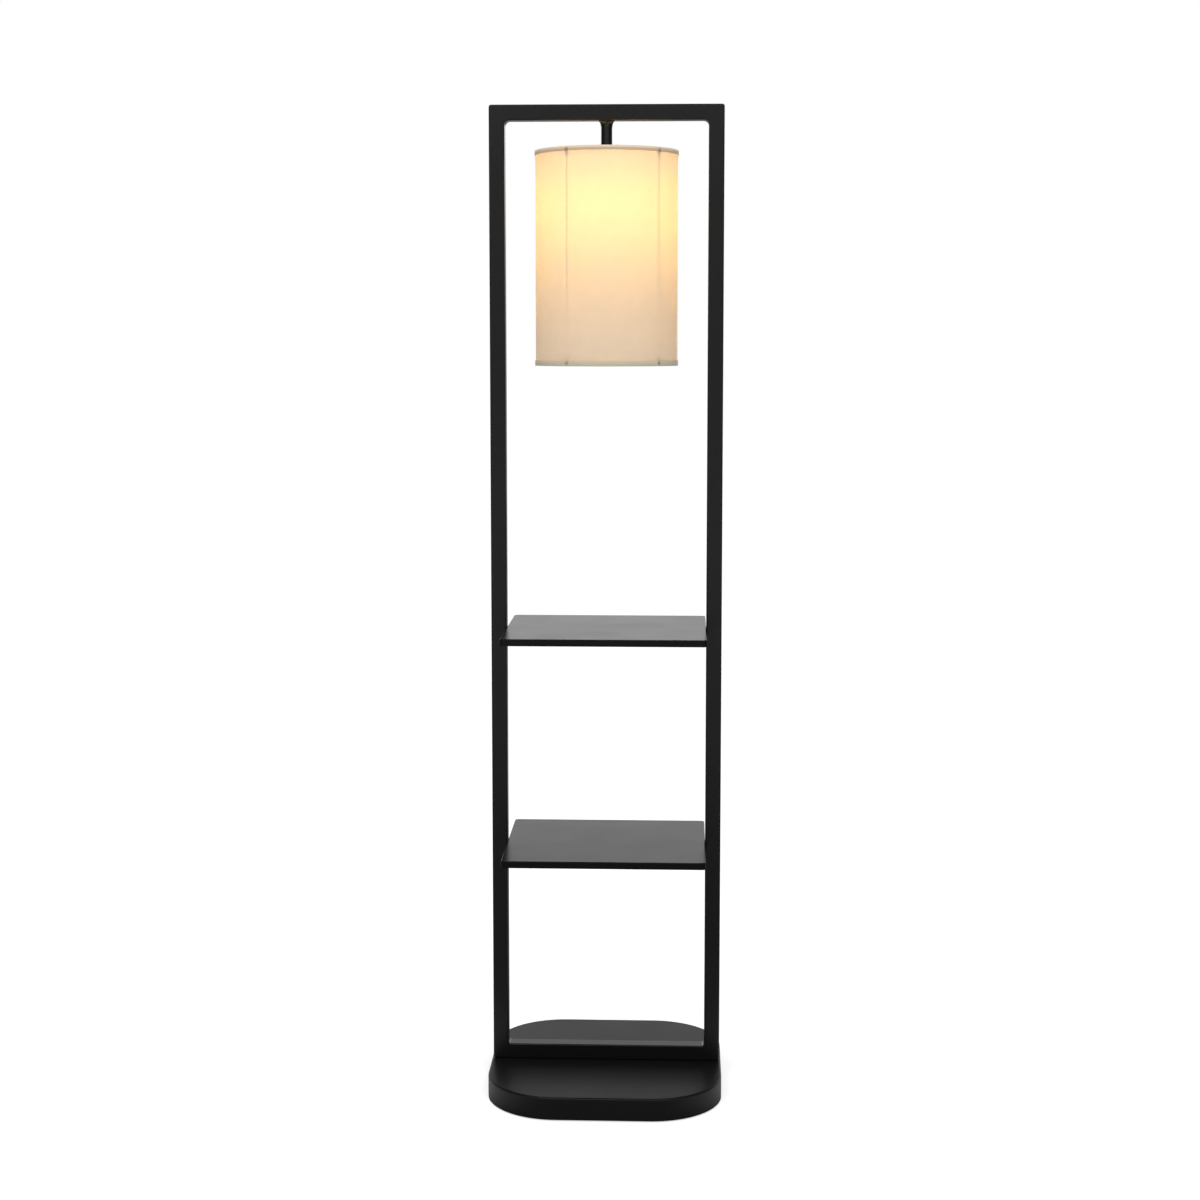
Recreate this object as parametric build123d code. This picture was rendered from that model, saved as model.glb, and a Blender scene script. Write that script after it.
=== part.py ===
from build123d import *
from math import sqrt
import os

# Shelf floor lamp: a tall welded ring of square tube on a weighted base, two folded shelves between
# its posts, and a fabric drum shade hung from its top bar.
# Millimetres. Origin on the floor under the middle of the base, +Z up, front at -Y, +X to the right.

# ------------------------------------------------------------------ overall sizes
total_height = 1600.0  # floor to the top of the frame
frame_width = 375.0  # across both posts
clear = 0.3  # gap between curved neighbours that don't touch
fit = 0.1  # radial clearance of screwed and turning parts
insert_swell = 1.3  # a threaded insert swells to this times its size behind the wall

# ------------------------------------------------------------------ frame
tube = 25.0  # side of the square tube
tube_wall = 1.5
tube_edge_r = 2.0  # rounding of the tube's long edges
tube_inner_r = 0.5  # least rounding inside the tube
frame_corner_r = 4.0  # outer corners of the welded ring, ground smooth
top_weld_r = 8.0  # fillet inside the upper corners
bottom_weld_r = 5.0  # fillet inside the lower corners

# ------------------------------------------------------------------ base
base_overhang = 2.5  # the base is this much wider than the frame on each side
base_width = frame_width + 2 * base_overhang
base_depth = base_width
base_corner_r = 115.0
base_top = 38.0  # height of the top surface above the floor
base_hem = 2.0  # the cover's lower edge stands this far off the floor
base_edge_r = 3.0
cover_wall = 2.0
weight_gap = 2.0  # between the weight's rim and the cover
plate_gap = 1.0  # between the bottom plate's rim and the cover
plate_thickness = 2.5
foot_height = 4.0
foot_d = 28.0
foot_inset = 50.0  # foot centre from the base's sides
foot_round = 1.0

clamp_end = 35.0  # steel bar that spreads the load of the bolts: what it has beyond the outer ones
clamp_width = 50.0
clamp_thickness = 6.0
clamp_gap = 1.0  # round the bar, in the weight's recess

bolt_d = 8.0
bolt_length = 25.0
bolt_head_af = 13.0
bolt_head_height = 5.3
bolt_washer_d = 16.0
bolt_washer_thickness = 1.6
bolt_count = 4
bolt_end = 27.5  # from the posts' inner faces to the outer bolts
bolt_gap = 0.5  # round the bolts in the cover and the clamp bar
bolt_insert_d = 11.0  # threaded insert in the bottom bar
bolt_insert_length = 16.0
bolt_well_d = 22.0  # access from below

standoff_d = 10.0  # threaded spacers welded under the cover, which hold the plate and the weight
standoff_inset = 95.0  # their centres from the base's sides
plate_screw_d = 5.0
plate_screw_length = 16.0
plate_screw_head_d = 9.5
plate_screw_socket_af = 3.0
plate_screw_socket_depth = 1.5

# ------------------------------------------------------------------ shelves
upper_shelf_top = 762.0
lower_shelf_top = 407.0
shelf_depth = 290.0
shelf_height = 11.0
shelf_sheet = 1.2
shelf_corner_r = 6.0
shelf_edge_r = 1.5
shelf_lip = 8.0  # lips folded inwards under the front and rear flanges

shelf_screw_d = 4.0
shelf_screw_length = 10.0
shelf_screw_head_d = 7.6
shelf_screw_head_height = 2.2
shelf_screw_head_bevel = 1.3
shelf_screw_socket_depth = 1.1
shelf_screw_socket_af = 2.5
shelf_screw_pitch = 12.0
shelf_insert_d = 6.0
shelf_insert_length = 9.0

# ------------------------------------------------------------------ stem under the top bar
stem_length = 39.0
stem_d = 18.0
collar_d = 25.0
collar_height = 9.0
collar_rim = 1.0
collar_lip = 0.6  # wall left at the collar's lower edge
pipe_d = 10.0  # threaded pipe that carries the lampholder
pipe_nut_af = 14.0
pipe_nut_height = 5.0
pipe_end = 1.0  # thread that shows above the nut
pipe_depth = 11.0  # thread inside the lampholder's cap

# ------------------------------------------------------------------ lampholder
cap_height = 16.0
cap_wall = 2.0
cap_neck_length = 8.0
cap_spigot = 3.0  # the cap's collar inside the body
cap_shoulder = 5.3  # fall of the cap's cone
cap_brow_r = 2.7
body_length = 40.0
body_d = 40.0
body_bore_d = 35.0
body_thread_d = 39.8
body_thread_length = 19.0
shoulder_d = 46.0
shoulder_height = 3.0
core_recess = 2.0  # the core's face behind the body's mouth
core_length = 34.0
shell_depth = 24.0
shell_wall = 0.5
terminal_d = 4.0
terminal_pitch = 20.0
terminal_length = 9.0
terminal_head_d = 6.0
terminal_head_height = 2.5
terminal_slot = 1.0
terminal_room = 1.0  # under the screws' ends
contact_width = 6.0
contact_thickness = 0.6
contact_reach = 6.0
contact_tongue = 4.2  # from the middle to the tongue's free end
contact_gap = 2.0  # between the contact and the shell's crown
contact_rise = 2.5  # room for the contact above the bulb
contact_bend_r = 2.0

# ------------------------------------------------------------------ light bulb
bulb_length = 105.0
bulb_d = 60.0
bulb_glass_wall = 1.0
bulb_neck_d = 27.0
bulb_neck_blend = 40.0  # radius of the hollow curve from the neck to the globe
bulb_cap_d = 26.1
bulb_cap_wall = 0.6
bulb_cap_cone = 2.0  # fall of the cap's cone
bulb_cap_length = 22.0
bulb_tip_length = 3.4
bulb_tip_d = 16.0
bulb_contact_d = 9.5
bulb_contact_height = 1.0

# ------------------------------------------------------------------ shade
shade_d = 230.0
shade_height = 340.0
shade_drop = 48.0  # from the top bar's underside to the shade's top edge
shade_rest_turn = 8.5  # how far the shade stands turned on its holder
skin_thickness = 0.8
wire_d = 3.5  # ring wire
tape_thickness = 0.6
tape_height = 5.5  # how far the binding comes down the outside
spoke_d = 3.0
spoke_count = 4
spoke_level = 12.0  # level stretch at the ring
spoke_seat = 9.0  # level stretch at the washer
spoke_bend_r = 8.0
spoke_end = 1.5  # from the lampholder's shoulder to the spokes' inner ends
spoke_flat = 0.4  # flat under the spokes where they are welded to the washer
weld_bead_r = 2.4  # beads where the spokes are welded to the ring
weld_bead_gap = 0.2  # from the beads to the cloth and its tape
washer_d = 60.0
washer_thickness = 1.5
strut_d = 3.0
strut_angle = 79.0  # degrees between the two struts at the front, and between the two at the back
ferrule_d = 5.5
ferrule_length = 12.0
clamp_ring_d = 54.0  # threaded ring that clamps the shade
clamp_ring_height = 8.0
clamp_ring_flutes = 20
clamp_ring_flute_r = 1.6

# ------------------------------------------------------------------ wiring
lead_d = 5.0
lead_bend_r = 11.0  # where it turns into the top bar
lead_corner_r = 28.0  # where it turns down into the post
lead_exit_r = 8.0  # where it turns to the outlet
lead_headroom = 3.0  # above the lead in the top bar
lead_start = 6.0  # its lower end under the pipe
outlet_height = 100.0
outlet_barrel_d = 10.0
outlet_flange_d = 15.0
outlet_flange_thickness = 2.0
outlet_barrel_inside = 2.0  # barrel that stands inside the post's wall

# ------------------------------------------------------------------ worked-out levels and places
bar_under = total_height - tube
bar_ceiling = total_height - tube_wall
post_x = (frame_width - tube) / 2
bay_width = frame_width - 2 * tube
bolt_spacing = (bay_width - 2 * bolt_end) / (bolt_count - 1)
clamp_length = (bolt_count - 1) * bolt_spacing + 2 * clamp_end
frame_height = total_height - base_top
frame_middle = (total_height + base_top) / 2
cover_under = base_top - cover_wall
clamp_under = cover_under - clamp_thickness
plate_top = foot_height + plate_thickness

cap_top = bar_under - stem_length
body_top = cap_top - cap_height
mouth = body_top - body_length
shoulder_under = mouth + body_thread_length
washer_under = shoulder_under - washer_thickness
core_top = mouth + core_recess + core_length
shell_top = mouth + core_recess + shell_depth
shell_r = bulb_cap_d / 2 + fit
bulb_top = shell_top - contact_rise
bulb_cap_top = bulb_top - bulb_tip_length
bulb_neck_z = bulb_cap_top - bulb_cap_length
globe_z = bulb_top - bulb_length + bulb_d / 2

shade_top = bar_under - shade_drop
shade_bottom = shade_top - shade_height
skin_r = shade_d / 2 - tape_thickness
wire_r = skin_r - skin_thickness - weld_bead_gap - weld_bead_r
top_wire_z = shade_top - tape_thickness - weld_bead_gap - weld_bead_r
bottom_wire_z = shade_bottom + tape_thickness + clear + wire_d / 2
strut_r = skin_r - skin_thickness - clear - ferrule_d / 2

bolt_xs = [(i - (bolt_count - 1) / 2) * bolt_spacing for i in range(bolt_count)]
lead_bar_z = bar_ceiling - lead_headroom - lead_d / 2
pipe_top = bar_under + tube_wall + pipe_nut_height + pipe_end


# ------------------------------------------------------------------ shared shapes
def sleeve(outer_r, inner_r, low, high):
    """Upright tube between two levels."""
    ring = Circle(outer_r) - Circle(inner_r)
    return Pos(0, 0, low) * extrude(ring, high - low)


def disc(radius, low, high):
    """Upright cylinder between two levels."""
    return Pos(0, 0, low) * extrude(Circle(radius), high - low)


def lathe(outline):
    """Solid turned round the Z axis from a closed outline of (radius, height)."""
    return revolve(Plane.XZ * make_face(outline), Axis.Z, 360)


def turned(*points):
    """Solid turned round the Z axis from (radius, height) corners."""
    return lathe(Polyline(*points, close=True))


def hexagon(across_flats, low, high):
    """Upright hexagonal prism."""
    flats = RegularPolygon(across_flats / 2, 6, major_radius=False)
    return Pos(0, 0, low) * extrude(flats, high - low)


def rounded_plate(width, depth, radius, low, high):
    """Flat plate with round corners between two levels."""
    return Pos(0, 0, low) * extrude(RectangleRounded(width, depth, radius), high - low)


def insert(outer_d, inner_d, length, wall):
    """Blind threaded insert: its barrel passes through a wall and swells behind it. Mouth at z = 0."""
    outer_r = outer_d / 2
    bulge = outer_r * insert_swell
    return turned(
        (inner_d / 2, 0),
        (outer_r, 0),
        (outer_r, wall),
        (bulge, wall),
        (bulge, wall + outer_r / 2),
        (outer_r, wall + outer_r),
        (outer_r, length),
        (inner_d / 2, length),
    )


def corners(width, depth, inset):
    """The four places that lie in from a rectangle's sides by the same amount."""
    x = width / 2 - inset
    y = depth / 2 - inset
    return [(sx * x, sy * y) for sx in (-1, 1) for sy in (-1, 1)]


def group(solids):
    """Separate solids kept together as one piece of hardware."""
    return Compound(children=list(solids))


# ------------------------------------------------------------------ frame
def frame_window(width, height, top_r, bottom_r):
    """The opening inside the ring, with its weld fillets."""
    face = Rectangle(width, height)
    face = fillet(face.vertices().group_by(Axis.Y)[-1], top_r)
    return fillet(face.vertices().group_by(Axis.Y)[0], bottom_r)


def upright(face, depth):
    """Face drawn in X and Z, thickened both ways along Y about the middle of the frame."""
    return extrude(Plane.XZ * Pos(0, frame_middle) * face, depth / 2, both=True)


def frame_ring():
    """The whole welded ring, hollow all the way round."""
    outside = RectangleRounded(frame_width, frame_height, frame_corner_r)
    window = frame_window(bay_width, frame_height - 2 * tube, top_weld_r, bottom_weld_r)
    ring = upright(outside - window, tube)
    ends = ring.faces().sort_by(Axis.Y)
    ring = fillet(ends[0].edges() + ends[-1].edges(), tube_edge_r)

    inset = 2 * tube_wall
    void_r = max(frame_corner_r - tube_wall, tube_inner_r)
    void_outside = RectangleRounded(frame_width - inset, frame_height - inset, void_r)
    void_window = frame_window(
        bay_width + inset,
        frame_height - 2 * tube + inset,
        top_weld_r + tube_wall,
        bottom_weld_r + tube_wall,
    )
    return ring - upright(void_outside - void_window, tube - inset)


def frame_member(ring, side):
    """One tube of the ring, mitred at both ends: side is left, right, top or bottom."""
    half_w = frame_width / 2
    half_h = frame_height / 2
    inner = half_h - half_w
    wedges = {
        "left": [(-half_w, -half_h), (0, -inner), (0, inner), (-half_w, half_h)],
        "right": [(half_w, -half_h), (half_w, half_h), (0, inner), (0, -inner)],
        "top": [(-half_w, half_h), (0, inner), (half_w, half_h)],
        "bottom": [(-half_w, -half_h), (half_w, -half_h), (0, -inner)],
    }
    wedge = upright(make_face(Polyline(*wedges[side], close=True)), tube + 2)
    return ring & wedge


def shelf_hole_places(side):
    """Centres of a post's holes for the shelf screws; side is -1 or 1."""
    x = side * bay_width / 2
    ys = (-shelf_screw_pitch / 2, shelf_screw_pitch / 2)
    return [(x, y, shelf_screw_z(top)) for top in (lower_shelf_top, upper_shelf_top) for y in ys]


def shelf_screw_z(top):
    """Height of a shelf's screws: the middle of its flange under the sheet."""
    return top - (shelf_height + shelf_sheet) / 2


def post(ring, side):
    """A post with its holes for the shelf inserts."""
    tube_solid = frame_member(ring, "left" if side < 0 else "right")
    for place in shelf_hole_places(side):
        drill = Pos(*place) * Rot(0, side * 90, 0) * disc(shelf_insert_d / 2, -1, tube_wall + 1)
        tube_solid -= drill
    return tube_solid


def right_post(ring):
    """The right post also has the outlet of the lead in its rear wall."""
    hole = Rot(-90, 0, 0) * disc(outlet_barrel_d / 2, tube / 2 - tube_wall - 1, tube / 2 + 1)
    return post(ring, 1) - Pos(post_x, 0, outlet_height) * hole


def top_bar(ring):
    """The top bar with the hole for the threaded pipe in its underside."""
    hole = disc(pipe_d / 2 + fit, bar_under - 1, bar_under + tube_wall + 1)
    return frame_member(ring, "top") - hole


def bottom_bar(ring):
    """The bottom bar with the holes for its threaded inserts."""
    bar = frame_member(ring, "bottom")
    for x in bolt_xs:
        bar -= Pos(x, 0, 0) * disc(bolt_insert_d / 2, base_top - 1, base_top + tube_wall + 1)
    return bar


# ------------------------------------------------------------------ base
def base_cover():
    """Pressed steel cover, open below, with holes for the frame bolts."""
    cover = rounded_plate(base_width, base_depth, base_corner_r, base_hem, base_top)
    cover = fillet(cover.faces().sort_by(Axis.Z)[-1].edges(), base_edge_r)
    inset = 2 * cover_wall
    hollow = rounded_plate(
        base_width - inset,
        base_depth - inset,
        base_corner_r - cover_wall,
        base_hem - 1,
        cover_under,
    )
    cover -= hollow
    for x in bolt_xs:
        cover -= Pos(x, 0, 0) * disc(bolt_d / 2 + bolt_gap, cover_under - 1, base_top + 1)
    return cover


def base_weight():
    """Cast slab that fills the cover, recessed for the clamp bar and bored for bolts and spacers."""
    inset = cover_wall + weight_gap
    slab = rounded_plate(
        base_width - 2 * inset,
        base_depth - 2 * inset,
        base_corner_r - inset,
        plate_top,
        cover_under,
    )
    recess = Box(
        clamp_length + 2 * clamp_gap,
        clamp_width + 2 * clamp_gap,
        clamp_thickness,
        align=(Align.CENTER, Align.CENTER, Align.MIN),
    )
    slab -= Pos(0, 0, clamp_under) * recess
    for x in bolt_xs:
        slab -= Pos(x, 0, 0) * disc(bolt_well_d / 2, plate_top, cover_under)
    for x, y in corners(base_width, base_depth, standoff_inset):
        slab -= Pos(x, y, 0) * disc(standoff_d / 2 + clear, plate_top, cover_under)
    return slab


def base_clamp_bar():
    """Flat steel bar under the cover that takes the frame bolts."""
    bar = Box(
        clamp_length,
        clamp_width,
        clamp_thickness,
        align=(Align.CENTER, Align.CENTER, Align.MIN),
    )
    bar = Pos(0, 0, clamp_under) * bar
    for x in bolt_xs:
        bar -= Pos(x, 0, 0) * disc(bolt_d / 2 + bolt_gap, clamp_under, cover_under)
    return bar


def base_plate():
    """Sheet that closes the base below, with access holes for the bolts."""
    inset = cover_wall + plate_gap
    plate = rounded_plate(
        base_width - 2 * inset,
        base_depth - 2 * inset,
        base_corner_r - inset,
        foot_height,
        plate_top,
    )
    for x in bolt_xs:
        plate -= Pos(x, 0, 0) * disc(bolt_well_d / 2, foot_height, plate_top)
    for x, y in corners(base_width, base_depth, standoff_inset):
        plate -= Pos(x, y, foot_height) * countersink(fit)
    return plate


def base_feet():
    """Four rubber feet under the bottom plate."""
    foot = disc(foot_d / 2, 0, foot_height)
    foot = chamfer(foot.faces().sort_by(Axis.Z)[0].edges(), foot_round)
    return group(Pos(x, y, 0) * foot for x, y in corners(base_width, base_depth, foot_inset))


def countersink(gap):
    """Head of a countersunk screw from z = 0 to the plate's top, larger all round by a gap."""
    shank_r = plate_screw_d / 2 - fit + gap
    head_r = plate_screw_head_d / 2 + gap
    return turned((0, 0), (head_r, 0), (shank_r, plate_thickness), (0, plate_thickness))


def base_standoffs():
    """Four threaded spacers welded under the cover."""
    spacer = sleeve(standoff_d / 2, plate_screw_d / 2, plate_top, cover_under)
    places = corners(base_width, base_depth, standoff_inset)
    return group(Pos(x, y, 0) * spacer for x, y in places)


def plate_screws():
    """Countersunk screws that hold the bottom plate to the spacers."""
    screw = countersink(0) + disc(plate_screw_d / 2 - fit, plate_thickness, plate_screw_length)
    screw -= hexagon(plate_screw_socket_af, 0, plate_screw_socket_depth)
    places = corners(base_width, base_depth, standoff_inset)
    return group(Pos(x, y, foot_height) * screw for x, y in places)


def frame_bolts():
    """Hexagon bolts that come up through the base into the bottom bar."""
    seat = clamp_under - bolt_washer_thickness
    bolt = hexagon(bolt_head_af, seat - bolt_head_height, seat)
    bolt += disc(bolt_d / 2 - fit, seat, seat + bolt_length)
    return group(Pos(x, 0, 0) * bolt for x in bolt_xs)


def frame_washers():
    """Washers between the bolt heads and the clamp bar."""
    washer = sleeve(
        bolt_washer_d / 2, bolt_d / 2 + clear, clamp_under - bolt_washer_thickness, clamp_under
    )
    return group(Pos(x, 0, 0) * washer for x in bolt_xs)


def frame_inserts():
    """Threaded inserts in the bottom bar."""
    nut = insert(bolt_insert_d, bolt_d, bolt_insert_length, tube_wall)
    return group(Pos(x, 0, base_top) * nut for x in bolt_xs)


# ------------------------------------------------------------------ shelves
def shelf(top):
    """Folded steel tray with its open side down, lips under its front and rear flanges."""
    low = top - shelf_height
    tray = rounded_plate(bay_width, shelf_depth, shelf_corner_r, low, top)
    tray = fillet(tray.faces().sort_by(Axis.Z)[-1].edges(), shelf_edge_r)
    inset = 2 * shelf_sheet
    tray -= rounded_plate(
        bay_width - inset,
        shelf_depth - inset,
        shelf_corner_r - shelf_sheet,
        low + shelf_sheet,
        top - shelf_sheet,
    )
    mouth_depth = shelf_depth - inset - 2 * shelf_lip
    window = Box(bay_width - inset, mouth_depth, 2 * shelf_sheet)
    tray -= Pos(0, 0, low) * window
    for side in (-1, 1):
        for y in (-shelf_screw_pitch / 2, shelf_screw_pitch / 2):
            drill = disc(shelf_screw_d / 2 + clear, -shelf_sheet - 1, 1)
            place = Pos(side * bay_width / 2, y, shelf_screw_z(top))
            tray -= place * Rot(0, side * 90, 0) * drill
    return tray


def shelf_screws():
    """Button-head screws through the shelves' end flanges, their heads inside the trays."""
    head_r = shelf_screw_head_d / 2
    seat = -shelf_sheet
    screw = disc(head_r, seat - shelf_screw_head_height, seat)
    screw = chamfer(screw.faces().sort_by(Axis.Z)[0].edges(), shelf_screw_head_bevel)
    screw += disc(shelf_screw_d / 2 - fit, seat, seat + shelf_screw_length)
    socket_low = seat - shelf_screw_head_height
    screw -= hexagon(shelf_screw_socket_af, socket_low, socket_low + shelf_screw_socket_depth)
    return group(
        Pos(*place) * Rot(0, side * 90, 0) * screw
        for side in (-1, 1)
        for place in shelf_hole_places(side)
    )


def shelf_inserts():
    """Threaded inserts in the posts for the shelf screws."""
    nut = insert(shelf_insert_d, shelf_screw_d, shelf_insert_length, tube_wall)
    return group(
        Pos(*place) * Rot(0, side * 90, 0) * nut
        for side in (-1, 1)
        for place in shelf_hole_places(side)
    )


# ------------------------------------------------------------------ stem
def threaded_pipe():
    """Hollow threaded pipe from the nut in the top bar to the lampholder."""
    return sleeve(pipe_d / 2, lead_d / 2 + clear, cap_top - pipe_depth, pipe_top)


def pipe_nut():
    """Nut that holds the pipe inside the top bar."""
    low = bar_under + tube_wall
    nut = hexagon(pipe_nut_af, low, low + pipe_nut_height)
    return nut - disc(pipe_d / 2 + fit, low, low + pipe_nut_height)


def stem():
    """Sleeve over the pipe between the top bar and the lampholder."""
    return sleeve(stem_d / 2, pipe_d / 2 + fit, cap_top, bar_under)


def stem_collar():
    """Flared collar at the top of the stem: a hollow curve runs from its rim down to the sleeve."""
    bore = stem_d / 2 + fit
    rim_r = collar_d / 2
    rim_z = bar_under - collar_rim
    low = bar_under - collar_height
    lip_r = bore + collar_lip
    flare = RadiusArc((rim_r, rim_z), (lip_r, low), -collar_height)
    rest = Polyline((lip_r, low), (bore, low), (bore, bar_under), (rim_r, bar_under), (rim_r, rim_z))
    return lathe(flare + rest)


# ------------------------------------------------------------------ lampholder
def socket_cap():
    """Domed cap that screws on the pipe and closes the lampholder."""
    neck_r = stem_d / 2
    outer_r = body_d / 2
    cap = turned(
        (pipe_d / 2 + fit, cap_top),
        (neck_r, cap_top),
        (outer_r, cap_top - cap_shoulder),
        (outer_r, body_top),
        (body_bore_d / 2 - fit, body_top),
        (body_bore_d / 2 - fit, body_top - cap_spigot),
        (body_bore_d / 2 - cap_wall, body_top - cap_spigot),
        (body_bore_d / 2 - cap_wall, cap_top - cap_neck_length),
        (pipe_d / 2 + fit, cap_top - cap_neck_length),
    )
    brow = cap.edges().filter_by(GeomType.CIRCLE).sort_by(SortBy.RADIUS)
    brow = [e for e in brow if abs(e.radius - outer_r) < 0.01 and e.center().Z > body_top + 1]
    return fillet(brow, cap_brow_r)


def socket_body():
    """Outer body of the lampholder, with a shoulder above its long thread for the shade."""
    return turned(
        (body_bore_d / 2, mouth),
        (body_thread_d / 2, mouth),
        (body_thread_d / 2, shoulder_under),
        (shoulder_d / 2, shoulder_under),
        (shoulder_d / 2, shoulder_under + shoulder_height),
        (body_d / 2, shoulder_under + shoulder_height),
        (body_d / 2, body_top),
        (body_bore_d / 2, body_top),
    )


def socket_core():
    """Insulating core: a cup round the screw shell with two terminal holes on top."""
    core_r = body_bore_d / 2 - clear
    low = mouth + core_recess
    core = disc(core_r, low, core_top)
    core -= disc(shell_r + shell_wall + fit, low, shell_top)
    for x in (-terminal_pitch / 2, terminal_pitch / 2):
        core -= Pos(x, 0, 0) * disc(terminal_d / 2 + fit, core_top - terminal_length, core_top)
    return core


def terminal_screws():
    """The two terminal screws on top of the core."""
    shank = disc(terminal_d / 2, core_top - terminal_length + terminal_room, core_top)
    head = disc(terminal_head_d / 2, core_top, core_top + terminal_head_height)
    slot = Box(terminal_head_d, terminal_slot, terminal_head_height)
    screw = shank + head - Pos(0, 0, core_top + terminal_head_height) * slot
    return group(Pos(x, 0, 0) * screw for x in (-terminal_pitch / 2, terminal_pitch / 2))


def screw_shell():
    """Metal cup that takes the bulb's cap, open in the middle of its top for the contact."""
    low = mouth + core_recess
    wall = sleeve(shell_r + shell_wall, shell_r, low, shell_top)
    rim_r = contact_reach + contact_gap
    crown = sleeve(shell_r + shell_wall / 2, rim_r, shell_top - shell_wall, shell_top)
    return wall + crown


def centre_contact():
    """Sprung tongue under the core that meets the bulb's tip."""
    foot = (-contact_reach, shell_top - contact_thickness / 2)
    bend = (-contact_reach / 3, shell_top - contact_thickness / 2)
    tongue = (contact_tongue, bulb_top + contact_thickness / 2 + clear)
    strip = trace(FilletPolyline(foot, bend, tongue, radius=contact_bend_r), contact_thickness)
    return extrude(Plane.XZ * strip, contact_width / 2, both=True)


# ------------------------------------------------------------------ light bulb
def bulb_outline(inset):
    """Half outline of the glass, inset from its outer face."""
    globe_r = bulb_d / 2 - inset
    neck_r = bulb_neck_d / 2 - inset
    blend_r = bulb_neck_blend + inset
    rise = sqrt((globe_r + blend_r) ** 2 - (neck_r + blend_r) ** 2)
    share = globe_r / (globe_r + blend_r)
    bottom = (0, globe_z - globe_r)
    side = (globe_r, globe_z)
    meet = ((neck_r + blend_r) * share, globe_z + rise * share)
    neck = (neck_r, globe_z + rise)
    high = (neck_r, bulb_neck_z - inset)
    globe = ThreePointArc(bottom, side, meet)
    hollow = RadiusArc(meet, neck, blend_r)
    rest = Polyline(neck, high, (0, high[1]), bottom)
    return globe + hollow + rest


def bulb_glass():
    """Opal glass envelope."""
    return lathe(bulb_outline(0)) - lathe(bulb_outline(bulb_glass_wall))


def bulb_cap():
    """Screw cap, open below where the glass meets it."""
    outer_r = bulb_cap_d / 2
    tip_r = bulb_tip_d / 2
    return turned(
        (outer_r - bulb_cap_wall, bulb_neck_z),
        (outer_r, bulb_neck_z),
        (outer_r, bulb_cap_top - bulb_cap_cone),
        (tip_r, bulb_cap_top),
        (tip_r - bulb_cap_wall, bulb_cap_top),
        (outer_r - bulb_cap_wall, bulb_cap_top - bulb_cap_cone - bulb_cap_wall),
    )


def bulb_tip():
    """Insulator on top of the cap, with the bulb's contact."""
    tip_r = bulb_tip_d / 2
    contact_r = bulb_contact_d / 2
    return turned(
        (0, bulb_cap_top),
        (tip_r, bulb_cap_top),
        (contact_r + 1, bulb_top - bulb_contact_height),
        (contact_r, bulb_top - bulb_contact_height),
        (contact_r, bulb_top),
        (0, bulb_top),
    )


# ------------------------------------------------------------------ shade
def turn_shade(shape):
    """The shade stands turned on its holder."""
    return Rot(0, 0, shade_rest_turn) * shape


def wire_ring(level):
    """Closed ring of wire."""
    return Pos(0, 0, level) * Torus(wire_r, wire_d / 2)


def spoke():
    """One cranked spoke from the ring down to the washer."""
    seat_z = shoulder_under + spoke_d / 2 - spoke_flat
    seat_r = shoulder_d / 2 + spoke_end
    path = FilletPolyline(
        (wire_r, 0, top_wire_z),
        (wire_r - spoke_level, 0, top_wire_z),
        (seat_r + spoke_seat, 0, seat_z),
        (seat_r, 0, seat_z),
        radius=spoke_bend_r,
    )
    profile = Plane(origin=path @ 0, z_dir=path % 0) * Circle(spoke_d / 2)
    return sweep(profile, path)


def shade_washer():
    """Washer that the spokes are welded to, held against the lampholder's shoulder."""
    return sleeve(washer_d / 2, body_thread_d / 2 + fit, washer_under, shoulder_under)


def shade_spider():
    """Top ring and four cranked spokes, welded together, with flats where they meet the washer."""
    arm = spoke() + Pos(wire_r, 0, top_wire_z) * Sphere(weld_bead_r)
    frame = wire_ring(top_wire_z)
    for i in range(spoke_count):
        frame += Rot(0, 0, i * 360 / spoke_count) * arm
    return turn_shade(frame) - shade_washer()


def shade_bottom_ring():
    """Plain ring in the lower hem."""
    return turn_shade(wire_ring(bottom_wire_z))


def strut_angles():
    """Where the four struts stand, from +X: two at the front and two at the back."""
    half = strut_angle / 2
    return [-90 - half, -90 + half, 90 - half, 90 + half]


def shade_struts():
    """Rods that hold the two rings apart."""
    gap = wire_d / 2 + clear
    rod = disc(strut_d / 2, bottom_wire_z + gap, top_wire_z - gap)
    return turn_shade(group(at_strut(rod, a) for a in strut_angles()))


def at_strut(shape, angle):
    """Move a shape from the Z axis to a strut's place."""
    return Rot(0, 0, angle) * Pos(strut_r, 0, 0) * shape


def strut_ferrules():
    """Notched ends of the struts, which bear on the rings."""
    saddle = Torus(wire_r, wire_d / 2 + fit)
    ends = []
    for angle in strut_angles():
        for level, way in ((top_wire_z, -1), (bottom_wire_z, 1)):
            cup = ferrule(level, way)
            ends.append(at_strut(cup, angle) - Pos(0, 0, level) * saddle)
    return turn_shade(group(ends))


def ferrule(level, way):
    """Cup on the end of a strut: way is -1 under the top ring and 1 over the bottom ring."""
    low, high = sorted((level, level + way * ferrule_length))
    stop = level + way * (wire_d / 2 + clear - fit)
    rod_low, rod_high = sorted((stop, level + way * ferrule_length))
    return disc(ferrule_d / 2, low, high) - disc(strut_d / 2 + fit, rod_low, rod_high)


def shade_skin():
    """Drum of lampshade fabric."""
    low = shade_bottom + tape_thickness
    high = shade_top - tape_thickness
    return turn_shade(sleeve(skin_r, skin_r - skin_thickness, low, high))


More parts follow.
